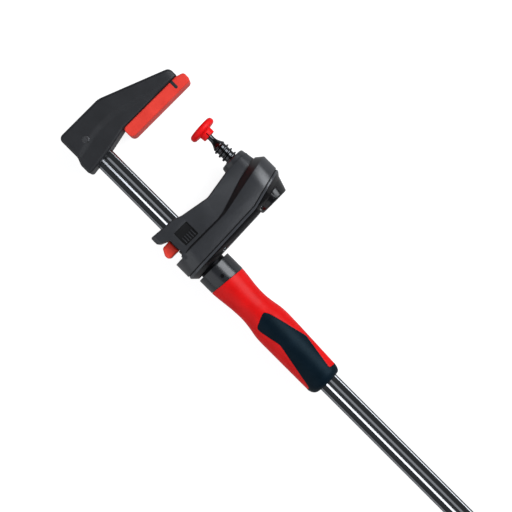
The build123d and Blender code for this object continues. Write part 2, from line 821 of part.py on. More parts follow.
def handle_form(depth):
    """Solid outer form of the handle, sunk by depth below the finished surface."""
    with BuildPart() as form:
        with BuildSketch():
            with BuildLine():
                # the swell runs through the collar, the waist and the full grip, with points a share
                # of the way between them
                neck_run = handle_waist_x - collar_end
                grip_run = handle_swell_x - handle_waist_x
                waist_drop = handle_radius - handle_waist_radius
                swell = Spline(
                    (handle_front, collar_radius - depth),
                    (collar_end, collar_radius - depth),
                    (collar_end + 0.41 * neck_run, handle_waist_radius + 0.47 * waist_drop - depth),
                    (handle_waist_x, handle_waist_radius - depth),
                    (handle_waist_x + 0.35 * grip_run, handle_waist_radius + 0.28 * waist_drop - depth),
                    (handle_waist_x + 0.68 * grip_run, handle_radius - 0.13 * waist_drop - depth),
                    (handle_swell_x, handle_radius - depth),
                    tangents=[(1, 0), (1, 0)],
                )
                side = Line(swell @ 1, (handle_back - handle_nose, handle_radius - depth))
                nose = ThreePointArc(
                    side @ 1,
                    (
                        handle_back - 0.3 * handle_nose - 0.6 * depth,
                        (handle_radius + handle_end_radius) / 2 + 0.3 - 0.6 * depth,
                    ),
                    (handle_back - depth, handle_end_radius - 0.3 * depth),
                )
                Polyline(nose @ 1, (handle_back - depth, 0), (handle_front, 0), swell @ 0)
            make_face()
        revolve(axis=Axis.X)
        with BuildSketch():
            with BuildLine():
                Polyline(
                    (flat_start, flat_start_radius - depth),
                    (handle_back, flat_end_radius - depth),
                    (handle_back, 2 * handle_radius),
                    (flat_start, 2 * handle_radius),
                    close=True,
                )
            make_face()
        extrude(amount=2 * handle_radius, both=True, mode=Mode.SUBTRACT)
    return form.part


with BuildPart() as grip_region:
    # a chevron panel on each broad side, mirrored, and a cap at the handle's end
    with BuildSketch():
        with BuildLine():
            FilletPolyline(
                (grip_point_x, grip_point_y),
                (grip_upper_x, grip_upper_y),
                (grip_cap_x + 1, grip_cap_upper_y),
                (grip_cap_x + 1, grip_cap_lower_y),
                (grip_lower_x, grip_lower_y),
                (grip_heel_x, grip_heel_y),
                radius=[2.2, 28, 0, 0, 12, 2.2],
                close=True,
            )
        make_face()
    extrude(amount=2 * handle_radius, both=True)
    with BuildSketch(across(grip_cap_x)):
        Circle(2 * handle_radius)
    extrude(amount=2 * handle_nose)

with BuildPart() as handle_grip:
    add(handle_form(0))
    add(grip_region.part, mode=Mode.INTERSECT)
    add(handle_form(grip_depth), mode=Mode.SUBTRACT)
    with BuildSketch(across(0)):
        Circle(handle_bore)
    extrude(amount=THROUGH, mode=Mode.SUBTRACT)
write(handle_grip.part, "handle_grip")

collar_cut = Plane(
    origin=(collar_end, 0, 0),
    x_dir=(sin(radians(collar_slant)), cos(radians(collar_slant)), 0),
    z_dir=(cos(radians(collar_slant)), -sin(radians(collar_slant)), 0),
)
with BuildPart() as handle_core:
    add(handle_form(0))
    add(grip_region.part, mode=Mode.SUBTRACT)
    add(handle_form(grip_depth))
    split(bisect_by=collar_cut, keep=Keep.TOP)
    with BuildSketch(across(handle_front + 0.6)):
        Circle(spigot_radius)
    extrude(amount=collar_end - handle_front)
    with BuildSketch(across(0)):
        Circle(handle_bore)
    extrude(amount=THROUGH, mode=Mode.SUBTRACT)
    with BuildSketch(across(0)):
        Circle(hub_radius)
    extrude(amount=hub_end, mode=Mode.SUBTRACT)
    with BuildSketch(Plane.XY.offset(handle_bore)):
        with Locations((collar_pin_x, 0)):
            Circle(collar_pin_radius)
    extrude(amount=collar_radius, mode=Mode.SUBTRACT)
write(handle_core.part, "handle_core")

with BuildPart() as handle_collar:
    with BuildSketch(across(handle_front)):
        Circle(collar_radius)
        Circle(spigot_radius, mode=Mode.SUBTRACT)
    extrude(amount=2 * (collar_end - handle_front))
    split(bisect_by=collar_cut, keep=Keep.BOTTOM)
    with BuildSketch(Plane.XY.offset(handle_bore)):
        with Locations((collar_pin_x, 0)):
            Circle(collar_pin_radius)
    extrude(amount=collar_radius, mode=Mode.SUBTRACT)
write(handle_collar.part, "handle_collar")

with BuildPart() as collar_pin:
    with BuildSketch(Plane.XY.offset(handle_bore + 0.5)):
        with Locations((collar_pin_x, 0)):
            Circle(collar_pin_radius)
    extrude(amount=collar_radius - collar_pin_inset - handle_bore - 0.5)
write(collar_pin.part, "collar_pin")

# ---- Quick release ----

lock_plane = Plane(
    origin=(lock_pivot_x, lock_pivot_y, 0),
    x_dir=(cos(radians(lock_tilt)), -sin(radians(lock_tilt)), 0),
    z_dir=(0, 0, 1),
)
# the window clears the rail both tilted and upright
tilt_rise = lock_pack / 2 * sin(radians(lock_tilt))
window_top = (lock_pivot_y - rail_width / 2 - tilt_rise) / cos(radians(lock_tilt)) - running_gap
window_bottom = (lock_pivot_y + rail_width / 2 + tilt_rise) / cos(radians(lock_tilt)) + running_gap

with BuildPart() as lock_plates:
    for side in (-1, 1):
        with BuildSketch(lock_plane):
            Circle(lock_pack / 2)
            Rectangle(lock_pack, lock_length, align=(Align.CENTER, Align.MAX))
            with Locations((side * (lock_pack / 2 + lock_gap / 2), 0)):
                Rectangle(lock_pack, 3 * lock_length, mode=Mode.INTERSECT)
        extrude(amount=lock_half, both=True)
    with BuildSketch(lock_plane):
        with Locations((0, -window_top)):
            Rectangle(3 * lock_pack, window_bottom - window_top, align=(Align.CENTER, Align.MAX))
    extrude(amount=rail_thickness / 2 + 3 * running_gap, both=True, mode=Mode.SUBTRACT)
write(lock_plates.part, "lock_plates")

with BuildPart() as release_button:
    with BuildSketch():
        with BuildLine():
            FilletPolyline(
                (button_front, button_top),
                (button_front, lock_end_y + button_slope_rise),
                (button_tip_x, lock_end_y - button_wall),
                (button_rear, lock_end_y - button_wall),
                (button_rear, button_top),
                radius=[0.5, 2.5, 2.0, 1.8, 0.5],
                close=True,
            )
        make_face()
    extrude(amount=button_half, both=True)
    fillet(release_button.faces().filter_by(Axis.Z).edges(), 0.4)
    with BuildSketch(lock_plane):
        Rectangle(lock_pack, lock_length, align=(Align.CENTER, Align.MAX))
    extrude(amount=lock_half, both=True, mode=Mode.SUBTRACT)
write(release_button.part, "release_button")

with BuildPart() as lock_spring:
    spring_pitch = (cavity_rear - lock_pivot_x - lock_pack / 2 - 2 * spring_wire - 0.3) / spring_turns
    with BuildLine():
        coil = Helix(
            spring_pitch,
            spring_pitch * spring_turns,
            spring_radius,
            center=(cavity_rear - spring_wire - 0.1 - spring_pitch * spring_turns, 0, 0),
            direction=(1, 0, 0),
        )
    with BuildSketch(Plane(origin=coil @ 0, z_dir=coil % 0)):
        Circle(spring_wire)
    sweep()
write(lock_spring.part, "lock_spring")
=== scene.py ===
import math
import bmesh
import bpy
import numpy as np
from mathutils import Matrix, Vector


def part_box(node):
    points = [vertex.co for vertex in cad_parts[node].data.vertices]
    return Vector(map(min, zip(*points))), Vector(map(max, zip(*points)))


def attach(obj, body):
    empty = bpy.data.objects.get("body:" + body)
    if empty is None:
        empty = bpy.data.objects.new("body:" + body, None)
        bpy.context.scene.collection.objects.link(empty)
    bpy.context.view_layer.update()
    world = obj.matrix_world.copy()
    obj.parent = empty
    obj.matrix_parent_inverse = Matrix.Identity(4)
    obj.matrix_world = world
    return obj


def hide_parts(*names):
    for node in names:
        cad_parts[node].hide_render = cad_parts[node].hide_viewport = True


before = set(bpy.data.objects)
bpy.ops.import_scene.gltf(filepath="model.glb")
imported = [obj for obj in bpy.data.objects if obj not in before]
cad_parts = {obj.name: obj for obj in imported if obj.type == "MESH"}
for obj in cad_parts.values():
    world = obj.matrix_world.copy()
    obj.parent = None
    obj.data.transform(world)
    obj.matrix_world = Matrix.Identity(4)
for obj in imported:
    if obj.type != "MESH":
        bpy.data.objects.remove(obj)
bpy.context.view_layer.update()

# ---- Viewpoint and light table ----
# The clamp lies on its side on a white table. The camera hangs straight above it and is turned an
# eighth of a turn, so the rail runs from upper left to lower right. A soft box stands on the spindle's
# side and a weaker one on the other. The walls are pale near the floor and the ceiling is dark.

camera_data = bpy.data.cameras.new("overhead_camera")
camera_data.sensor_width = 36.0
camera_data.lens = 106.0
camera = bpy.data.objects.new("overhead_camera", camera_data)
camera.location = (0.1288, 0.0288, 1.150)
camera.rotation_euler = (0.0, 0.0, math.radians(45))
bpy.context.scene.collection.objects.link(camera)
bpy.context.scene.camera = camera
bpy.context.scene.view_settings.view_transform = "Standard"

lamp_white = (0.92, 0.955, 1.0)
lamp_aim_y = 0.03


def soft_box(name, middle, tilt, reach, along, across, energy):
    """Flat lamp, along by across metres, that faces the clamp's middle line: at x = middle, at an angle
    tilt (degrees) from straight above towards +Y, and at a distance reach (metres)."""
    lamp_data = bpy.data.lights.new(name, "AREA")
    lamp_data.shape = "RECTANGLE"
    lamp_data.size = along
    lamp_data.size_y = across
    lamp_data.energy = energy
    lamp_data.color = lamp_white
    lamp = bpy.data.objects.new(name, lamp_data)
    tilt = math.radians(tilt)
    lamp.location = (middle, lamp_aim_y + reach * math.sin(tilt), reach * math.cos(tilt))
    lamp.rotation_euler = (-tilt, 0.0, 0.0)
    bpy.context.scene.collection.objects.link(lamp)


soft_box("key_softbox", 0.55, 46.0, 1.5, 1.4, 1.15, 30.3)
soft_box("fill_softbox", 0.30, -54.0, 1.8, 2.9, 2.0, 13.8)


def reckoned(tree, operation, *values):
    """One step of arithmetic in a node tree, on sockets or plain numbers: the socket of its result."""
    step = tree.nodes.new("ShaderNodeMath")
    step.operation = operation
    for socket, value in zip(step.inputs, values):
        if isinstance(value, float):
            socket.default_value = value
        else:
            tree.links.new(value, socket)
    return step.outputs["Value"]


def ramped(tree, field, start, stop, first, last):
    """A straight run from first to last while the field goes from start to stop, level past both."""
    run = tree.nodes.new("ShaderNodeMapRange")
    for socket, value in zip(("From Min", "From Max", "To Min", "To Max"), (start, stop, first, last)):
        run.inputs[socket].default_value = value
    tree.links.new(field, run.inputs["Value"])
    return run.outputs["Result"]


def blended(tree, share, first, second):
    """Shader that turns from the first into the second as share goes from 0 to 1."""
    blend = tree.nodes.new("ShaderNodeMixShader")
    tree.links.new(share, blend.inputs["Fac"])
    tree.links.new(first.outputs[0], blend.inputs[1])
    tree.links.new(second.outputs[0], blend.inputs[2])
    return blend.outputs["Shader"]


studio = bpy.data.worlds.new("studio")
bpy.context.scene.world = studio
studio.use_nodes = True
studio_tree = studio.node_tree
studio_tree.nodes.clear()
studio_place = studio_tree.nodes.new("ShaderNodeTexCoord")
studio_way = studio_tree.nodes.new("ShaderNodeSeparateXYZ")
studio_tree.links.new(studio_place.outputs["Generated"], studio_way.inputs["Vector"])
way_x, way_y, way_z = (studio_way.outputs[axis] for axis in "XYZ")
studio_ray = studio_tree.nodes.new("ShaderNodeLightPath").outputs

# the walls fade with height, and the room is dark past both ends of the rail
wall_fade = ramped(studio_tree, way_z, 0.0, 0.75, 0.17, 0.10)
past_ends = reckoned(studio_tree, "MULTIPLY", way_x, way_x)
end_dim = reckoned(studio_tree, "MULTIPLY_ADD", past_ends, -0.75, 1.0)
wall_light = reckoned(studio_tree, "MULTIPLY", wall_fade, end_dim)
# matt surfaces gather more light from the room than mirrors show, most of it from the rail's side (-Y)
matt_gain = reckoned(studio_tree, "MULTIPLY_ADD", way_y, -2.0, 2.4)
gain = reckoned(studio_tree, "MULTIPLY_ADD", studio_ray["Is Diffuse Ray"], matt_gain, 1.0)
studio_room = studio_tree.nodes.new("ShaderNodeBackground")
studio_room.inputs["Color"].default_value = (0.92, 0.96, 1.0, 1.0)
room_light = reckoned(studio_tree, "MULTIPLY", wall_light, gain)
studio_tree.links.new(room_light, studio_room.inputs["Strength"])
# the camera sees white, and mirrors show the far table as a white band almost two degrees high
glossy, passed = studio_ray["Is Glossy Ray"], studio_ray["Is Transmission Ray"]
mirrored = reckoned(studio_tree, "MAXIMUM", glossy, passed)
low_band = ramped(studio_tree, way_z, 0.0, 0.03, 1.0, 0.0)
far_table = reckoned(studio_tree, "MULTIPLY", mirrored, low_band)
white_share = reckoned(studio_tree, "MAXIMUM", far_table, studio_ray["Is Camera Ray"])
studio_white = studio_tree.nodes.new("ShaderNodeBackground")
studio_white.inputs["Color"].default_value = (1.0, 1.0, 1.0, 1.0)
studio_out = studio_tree.nodes.new("ShaderNodeOutputWorld")
studio_tree.links.new(
    blended(studio_tree, white_share, studio_room, studio_white), studio_out.inputs["Surface"]
)

table_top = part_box("gear_cover")[0].z - 0.0008
table_half = 6.0
table_mesh = bpy.data.meshes.new("light_table")
table_mesh.from_pydata(
    [(x * table_half, y * table_half, table_top) for x, y in ((-1, -1), (1, -1), (1, 1), (-1, 1))],
    [],
    [(0, 1, 2, 3)],
)
light_table = bpy.data.objects.new("light_table", table_mesh)
bpy.context.scene.collection.objects.link(light_table)

table_white = bpy.data.materials.new("table_white")
table_white.use_nodes = True
table_tree = table_white.node_tree
table_tree.nodes.clear()
table_ray = table_tree.nodes.new("ShaderNodeLightPath").outputs
table_diffuse = table_tree.nodes.new("ShaderNodeBsdfDiffuse")
table_diffuse.inputs["Color"].default_value = (0.30, 0.30, 0.30, 1.0)
table_dark = table_tree.nodes.new("ShaderNodeEmission")
table_dark.inputs["Strength"].default_value = 0.0
table_glow = table_tree.nodes.new("ShaderNodeEmission")
table_glow.inputs["Strength"].default_value = 0.88
# The camera sees the whole glow and mirrors a fifth of it, which is white too with the lamps' light on
# the table. Matt surfaces get 0.15 of it, as the light that a white table throws on the clamp's sides.
glossy, passed = table_ray["Is Glossy Ray"], table_ray["Is Transmission Ray"]
mirrored = reckoned(table_tree, "MAXIMUM", glossy, passed)
mirrored_share = reckoned(table_tree, "MULTIPLY", mirrored, 0.2)
seen_share = reckoned(table_tree, "MAXIMUM", table_ray["Is Camera Ray"], mirrored_share)
glow_share = reckoned(table_tree, "MULTIPLY_ADD", table_ray["Is Diffuse Ray"], 0.15, seen_share)
table_sum = table_tree.nodes.new("ShaderNodeAddShader")
table_tree.links.new(table_diffuse.outputs["BSDF"], table_sum.inputs[0])
table_tree.links.new(blended(table_tree, glow_share, table_dark, table_glow), table_sum.inputs[1])
table_out = table_tree.nodes.new("ShaderNodeOutputMaterial")
table_tree.links.new(table_sum.outputs["Shader"], table_out.inputs["Surface"])
table_mesh.materials.append(table_white)

# ---- Rail ----
# A bar of drawn steel, 16.4 mm wide and 7.5 mm thick, with a groove rolled down each broad face.
# Its corners are round from drawing, and its surface keeps fine lines along its length.

mm = 0.001


def surface(name, grids, crease_angle):
    """Mesh from grids of points in millimetres, each rows x columns x (x, y, z): four neighbours
    make a face, points that fall together are merged, and faces that meet above crease_angle
    (degrees) keep a sharp edge."""
    corners, faces, first = [], [], 0
    for grid in grids:
        rows, columns = grid.shape[:2]
        index = first + np.arange(rows * columns).reshape(rows, columns)
        squares = np.stack([index[:-1, :-1], index[1:, :-1], index[1:, 1:], index[:-1, 1:]], -1)
        faces.append(squares.reshape(-1, 4))
        corners.append(grid.reshape(-1, 3))
        first += rows * columns
    mesh = bpy.data.meshes.new(name)
    mesh.from_pydata((np.concatenate(corners) * mm).tolist(), [], np.concatenate(faces).tolist())
    shell = bmesh.new()
    shell.from_mesh(mesh)
    bmesh.ops.remove_doubles(shell, verts=shell.verts, dist=0.002 * mm)
    bmesh.ops.recalc_face_normals(shell, faces=shell.faces)
    shell.to_mesh(mesh)
    shell.free()
    mesh.shade_smooth()
    mesh.set_sharp_from_angle(angle=math.radians(crease_angle))
    return mesh


def fit_piece(name, mesh, finish, body, slot, *nodes):
    """Put a finished mesh on its body, in place of the CAD nodes that it stands for. The slot argument
    is not used."""
    piece = bpy.data.objects.new(name, mesh)
    bpy.context.scene.collection.objects.link(piece)
    mesh.materials.clear()
    mesh.materials.append(finish)
    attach(piece, body)
    if nodes:
        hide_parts(*nodes)
    return piece


def finish_node(node, finish):
    """Give a CAD node that is shown its finish."""
    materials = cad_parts[node].data.materials
    materials.clear()
    materials.append(finish)


def noise_field(material, scale, detail, stretch=(1.0, 1.0, 1.0)):
    """Noise in the object's own space, with scale in cycles per metre and a stretch per axis."""
    nodes, links = material.node_tree.nodes, material.node_tree.links
    place = nodes.new("ShaderNodeTexCoord")
    squeeze = nodes.new("ShaderNodeMapping")
    squeeze.inputs["Scale"].default_value = stretch
    field = nodes.new("ShaderNodeTexNoise")
    field.inputs["Scale"].default_value = scale
    field.inputs["Detail"].default_value = detail
    links.new(place.outputs["Object"], squeeze.inputs["Vector"])
    links.new(squeeze.outputs["Vector"], field.inputs["Vector"])
    return field.outputs["Fac"]


def tint(material, field, low, high):
    """Base colour that runs from low to high as a field goes from 0.35 to 0.65."""
    nodes, links = material.node_tree.nodes, material.node_tree.links
    ramp = nodes.new("ShaderNodeValToRGB")
    for stop, place, colour in zip(ramp.color_ramp.elements, (0.35, 0.65), (low, high)):
        stop.position = place
        stop.color = (*colour, 1.0)
    links.new(field, ramp.inputs["Fac"])
    links.new(ramp.outputs["Color"], nodes["Principled BSDF"].inputs["Base Color"])


def sheen_range(material, field, low, high):
    """Roughness that runs from low to high as a field goes from 0.3 to 0.7."""
    tree = material.node_tree
    roughness = tree.nodes["Principled BSDF"].inputs["Roughness"]
    tree.links.new(ramped(tree, field, 0.3, 0.7, low, high), roughness)


def relief(material, field, depth):
    """Bump from a field, with depth in millimetres."""
    nodes, links = material.node_tree.nodes, material.node_tree.links
    bump = nodes.new("ShaderNodeBump")
    bump.inputs["Distance"].default_value = depth * mm
    bump.inputs["Strength"].default_value = 0.6
    links.new(field, bump.inputs["Height"])
    links.new(bump.outputs["Normal"], nodes["Principled BSDF"].inputs["Normal"])


def steel(name, low, high, roughness, stretch=(1.0, 1.0, 1.0), grain=900.0, depth=0.01):
    """Steel with fine grain, drawn out along any axis whose stretch is small."""
    material = bpy.data.materials.new(name)
    material.use_nodes = True
    shader = material.node_tree.nodes["Principled BSDF"]
    shader.inputs["Metallic"].default_value = 1.0
    streaks = noise_field(material, grain, 4.0, stretch)
    tint(material, streaks, low, high)
    sheen_range(material, streaks, *roughness)
    relief(material, streaks, depth)
    return material


rail_steel = steel(
    "rail_steel",
    (0.22, 0.225, 0.235),
    (0.27, 0.275, 0.285),
    (0.15, 0.19),
    stretch=(0.004, 1.0, 1.0),
    grain=700.0,
    depth=0.0001,
)
rail_front, rail_back = -34.0, 495.0


def rail_section():
    """Half outline of the bar's section, from its middle plane over the +Z face: a tight edge, a
    shoulder that grows steeper towards it (heights summed from the slopes), a flat, a sharp bend and
    a groove whose floor is an arc of a circle. Mirrored in Y and in Z it gives the whole loop of
    (y, z)."""
    half_width, half_thickness, edge_height = 8.2, 3.75, 0.08
    shoulder_y = np.array([6.0, 6.4, 6.55, 6.69, 6.82, 6.95, 7.08, 7.2, 7.45, 7.8, 8.14])
    slope = np.array([0.0, 0.0, 0.1, 0.25, 0.42, 0.55, 0.66, 0.8, 1.1, 1.4, 1.7])
    fall = np.concatenate([[0.0], np.cumsum(np.diff(shoulder_y) * (slope[1:] + slope[:-1]) / 2)])
    mouth, sweep = 2.8, 6.0
    groove_y = np.linspace(mouth, 0, 16)
    groove_z = half_thickness + np.sqrt(sweep**2 - mouth**2) - np.sqrt(sweep**2 - groove_y**2)
    y = np.concatenate([[half_width, half_width], shoulder_y[::-1], groove_y])
    shoulder_z = half_thickness - fall[::-1]
    z = np.concatenate([[0.0, shoulder_z[0] - edge_height], shoulder_z, groove_z])
    quarter = np.stack([y, z], -1)
    top = np.concatenate([quarter, quarter[-2::-1] * (-1, 1)])
    return np.concatenate([top, top[-2::-1] * (1, -1)])


def drawn_bar(section, chamfer=0.4):
    """The section carried straight along X: every row is the loop at one X, drawn in to 0.96 of its
    size at the chamfered ends and closed at its middle."""
    into_end = np.array([0.0, 0.0, chamfer, 1.0])
    x = np.concatenate([rail_front + into_end, rail_back - into_end[::-1]])
    size = np.array([0.0, 0.96, 1.0, 1.0, 1.0, 1.0, 0.96, 0.0])
    yz = section[None] * size[:, None, None]
    return np.concatenate([np.broadcast_to(x[:, None, None], yz.shape[:2] + (1,)), yz], -1)


fit_piece(
    "rail_bar",
    surface("rail_bar", [drawn_bar(rail_section())], 24.0),
    rail_steel,
    "root",
    "rail_steel",
    "rail",
)

# ---- Pins of the rail ----
# Turned steel: a headed pin rivets the fixed jaw to the rail, and a short pin through the rail's far
# end keeps the arm from sliding off.

pin_steel = steel("pin_steel", (0.10, 0.10, 0.105), (0.20, 0.20, 0.21), (0.35, 0.5), grain=1800.0)
finish_node("jaw_pin", pin_steel)
finish_node("rail_end_stop", pin_steel)

# ---- Fixed jaw ----
# One moulding of glass-filled black plastic, riveted to the end of the rail. Its tip bends away, and a
# hollow with a long sweep along the throat keeps its walls even.


def plastic(name, low, high, roughness, depth=0.02, reflection=0.5):
    """Moulded plastic: slow patches of shade from the melt, 70 to the metre, and an even fine grain
    from the mould, 1400 to the metre, which sets the roughness and the relief."""
    material = bpy.data.materials.new(name)
    material.use_nodes = True
    shader = material.node_tree.nodes["Principled BSDF"]
    shader.inputs["Specular IOR Level"].default_value = reflection
    tint(material, noise_field(material, 70.0, 4.0), low, high)
    pores = noise_field(material, 1400.0, 2.0)
    sheen_range(material, pores, *roughness)
    relief(material, pores, depth)
    return material


jaw_plastic = plastic("jaw_plastic", (0.0130, 0.0135, 0.0158), (0.0175, 0.018, 0.0208), (0.42, 0.50))
jaw_half = 13.1
jaw_seat = -9.9


def inset_ring(corners, radii, inset, arc_points, run_points):
    """Closed outline moved in by inset. Each straight side shifts along its own normal, corners are
    where the shifted sides cross, and at each one an arc touches both sides: its radius shrinks by
    the inset where the corner bulges out, and grows by it where the corner caves in."""
    corners = np.array(corners, float)
    side = np.roll(corners, -1, 0) - corners
    side /= np.linalg.norm(side, axis=1)[:, None]
    inward = np.stack([-side[:, 1], side[:, 0]], -1)
    inward_before, side_before = np.roll(inward, 1, 0), np.roll(side, 1, 0)
    level = (inward * inward_before).sum(1)[:, None]
    bisector = (inward + inward_before) / (1 + level)
    bulge = np.sign(side_before[:, 0] * side[:, 1] - side_before[:, 1] * side[:, 0])[:, None]
    radius = np.maximum(np.array(radii, float)[:, None] - inset * bulge, 0.05)
    middle = corners + bisector * (inset + radius * bulge)
    sweep = np.arccos(np.clip(level, -1, 1))[:, :, None]
    share = np.linspace(0, 1, arc_points)[None, :, None]
    before, after = np.sin((1 - share) * sweep), np.sin(share * sweep)
    spoke = (before * inward_before[:, None] + after * inward[:, None]) / np.sin(sweep)
    arcs = middle[:, None] - spoke * (radius * bulge)[:, None]
    share = np.linspace(0, 1, run_points + 2)[None, 1:-1, None]
    runs = arcs[:, -1:] * (1 - share) + np.roll(arcs, -1, 0)[:, :1] * share
    return np.concatenate([arcs, runs], 1).reshape(-1, 2)


def soft_step(value):
    """Runs from 0 to 1 with no corner: three squares less two cubes of the value held to 0..1."""
    value = np.clip(value, 0, 1)
    return value * value * (3 - 2 * value)


def moulded_slab(corners, radii, centre, half, edge, face_depth=None, rings=2, run_points=14):
    """Both faces and the wall of a slab seen along Z. Rings step in from the wall while the face
    rises as a quarter circle of the edge radius, and then shrink evenly to the centre. face_depth
    gives how far each point of the face is sunk."""
    turn = np.linspace(0, math.pi / 2, 8)
    insets = edge * (1 - np.cos(turn))
    rim = np.array([inset_ring(corners, radii, inset, 9, run_points) for inset in insets])
    size = np.linspace(1, 0, rings + 1)[1:, None, None]
    xy = np.concatenate([rim, centre + (rim[-1] - centre) * size])
    xy = np.concatenate([xy, xy[:, :1]], 1)
    drop = np.concatenate([edge * (1 - np.sin(turn)), np.zeros(rings)])[:, None]
    z = half - drop - (face_depth(xy[..., 0], xy[..., 1]) if face_depth else 0)
    top = np.concatenate([xy, z[..., None] + 0 * xy[..., :1]], -1)
    return np.concatenate([top[::-1], top * (1, 1, -1)])


def jaw_face_depth(x, y):
    """The throat side of the jaw lies lower by the hollow's depth, beyond a soft step 5 mm wide along
    a sweep that runs up to the pad, and the tip bends away as the start of another soft step."""
    hollow, step = 0.9, 5.0
    sweep_y = [-16, -4, 6, 16, 26, 35, 47.7, 59, 70, 83]
    sweep_x = [-17.5, -20.5, -22.6, -23.8, -23.4, -21.6, -17.6, -13.2, -10.6, -9.0]
    past_sweep = x - np.interp(y, sweep_y, sweep_x)
    tip_start, tip_run, tip_bend = 76.0, 13.0, 1.7
    bent = tip_bend * soft_step((y - tip_start) / tip_run) * (y > tip_start)
    return hollow * soft_step((past_sweep + step / 2) / step) + bent


jaw_corners = [
    (-39.5, -14.0), (-19.0, -14.0), (-13.0, -16.4), (-3.2, -16.4), (-5.9, 7.0),
    (jaw_seat, 26.0), (jaw_seat, 82.9), (-18.0, 82.9), (-39.5, 28.2),
]
jaw_radii = [4, 6, 6, 2.4, 60, 4, 1.0, 4.5, 15]
jaw_body = moulded_slab(
    jaw_corners, jaw_radii, (-22.0, 15.0), jaw_half, 2.2, jaw_face_depth, rings=44, run_points=22
)
# a tab on each side hooks into a slot of the pad and stands 0.1 mm proud of the jaw's face
tab_half = 0.75
tab_corners = [(jaw_seat, 75.1), (-2.7, 75.1), (-2.7, 77.7), (jaw_seat, 77.7)]
tab = moulded_slab(tab_corners, [0.2, 1.2, 1.2, 0.2], (-6.3, 76.4), tab_half, 0.25)
tab_rise = (0, 0, jaw_half + 0.1 - tab_half)
fit_piece(
    "jaw_moulding",
    surface("jaw_moulding", [jaw_body, tab + tab_rise, tab - tab_rise], 40.0),
    jaw_plastic,
    "root",
    "jaw_plastic",
    "fixed_jaw",
)

# ---- Pad of the fixed jaw ----
# A soft red moulding that keeps the jaw from marking the work. It is pressed onto the jaw's seat, where
# lugs behind it and a slot on each side snap fast.

pad_red = plastic("pad_red", (0.72, 0.044, 0.030), (0.82, 0.056, 0.038), (0.42, 0.52), reflection=0.15)
pad_corners = [(jaw_seat, 25.4), (0.0, 25.4), (0.0, 88.1), (-7.8, 88.1), (jaw_seat, 81.7)]
pad_body = moulded_slab(pad_corners, [3.0, 4.0, 3.0, 2.6, 0.6], (-4.9, 56.0), jaw_half, 1.2)
fit_piece(
    "pad_moulding",
    surface("pad_moulding", [pad_body], 40.0),
    pad_red,
    "root",
    "pad_red",
    "fixed_jaw_pad",
)

# ---- Arm and gear case ----
# Two mouldings of black plastic: the arm with the front half of the gear case, and the rear cover,
# held together by four screws.

arm_plastic = plastic(
    "arm_plastic", (0.0225, 0.0235, 0.0265), (0.0275, 0.0285, 0.0325), (0.31, 0.37), reflection=0.65
)
cover_plastic = plastic("cover_plastic", (0.042, 0.044, 0.049), (0.050, 0.052, 0.058), (0.20, 0.26))
screw_steel = steel("screw_steel", (0.08, 0.08, 0.085), (0.14, 0.14, 0.15), (0.35, 0.5))
# near-black painted shade for the sloping flanks of the arm and of the cover
arm_flank_painted_shade, cover_flank_painted_shade = (0.005, 0.005, 0.006), (0.003, 0.003, 0.0035)
spindle_y = 68.0
seam_bend_x, seam_bend_y = 100.9, 54.2
seam_gap = 0.95


def repaint(material, share, colour):
    """Base colour that turns into another one where share is 1."""
    nodes, links = material.node_tree.nodes, material.node_tree.links
    base = nodes["Principled BSDF"].inputs["Base Color"]
    blend = nodes.new("ShaderNodeMix")
    blend.data_type = "RGBA"
    links.new(share, blend.inputs[0])
    links.new(base.links[0].from_socket, blend.inputs[6])
    blend.inputs[7].default_value = (*colour, 1.0)
    links.new(blend.outputs[2], base)


def painted_shade_zone(material, reach):
    """1 where the painted shade goes: where a point lies nearer than reach (millimetres) to the line
    between the handle's axis and the spindle's, and not in front of the case: its sloping flanks and
    everything behind them. At each X and Y the flanks end at the greater of two heights, x less the
    foot of the lower flank, and the run along the upper flank's lean less its foot."""
    lower_foot, upper_foot, upper_lean = 71.0, 76.0, (0.98048, 0.19639, 0.0)
    tree = material.node_tree
    place = tree.nodes.new("ShaderNodeTexCoord").outputs["Object"]
    split = tree.nodes.new("ShaderNodeSeparateXYZ")
    tree.links.new(place, split.inputs["Vector"])
    held = tree.nodes.new("ShaderNodeClamp")
    held.inputs["Max"].default_value = spindle_y * mm
    tree.links.new(split.outputs["Y"], held.inputs["Value"])
    spoke = tree.nodes.new("ShaderNodeCombineXYZ")
    past_line = reckoned(tree, "SUBTRACT", split.outputs["Y"], held.outputs["Result"])
    tree.links.new(past_line, spoke.inputs["Y"])
    tree.links.new(split.outputs["Z"], spoke.inputs["Z"])
    length = tree.nodes.new("ShaderNodeVectorMath")
    length.operation = "LENGTH"
    tree.links.new(spoke.outputs["Vector"], length.inputs[0])
    leaning = tree.nodes.new("ShaderNodeVectorMath")
    leaning.operation = "DOT_PRODUCT"
    leaning.inputs[1].default_value = upper_lean
    tree.links.new(place, leaning.inputs[0])
    upper = reckoned(tree, "SUBTRACT", leaning.outputs["Value"], upper_foot * mm)
    lower = reckoned(tree, "SUBTRACT", split.outputs["X"], lower_foot * mm)
    flank = reckoned(tree, "MAXIMUM", upper, lower)
    limit = reckoned(tree, "MINIMUM", flank, reach * mm)
    return reckoned(tree, "LESS_THAN", length.outputs["Value"], limit)


# Painted shade: the case's sloping flanks and the chamfers behind them get a near-black base colour,
# which stands for the shade on faces turned away from the key lamp.
repaint(arm_plastic, painted_shade_zone(arm_plastic, 18.9), arm_flank_painted_shade)
repaint(cover_plastic, painted_shade_zone(cover_plastic, 18.35), cover_flank_painted_shade)


def joined_faces(node):
    """A copy of a node's own solid, with its corners merged and faces that lie within 0.6 degrees of
    each other joined up."""
    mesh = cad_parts[node].data.copy()
    body = bmesh.new()
    body.from_mesh(mesh)
    bmesh.ops.remove_doubles(body, verts=body.verts, dist=0.001 * mm)
    bmesh.ops.dissolve_limit(
        body,
        angle_limit=math.radians(0.6),
        verts=body.verts,
        edges=body.edges,
        use_dissolve_boundaries=False,
    )
    body.to_mesh(mesh)
    body.free()
    return mesh


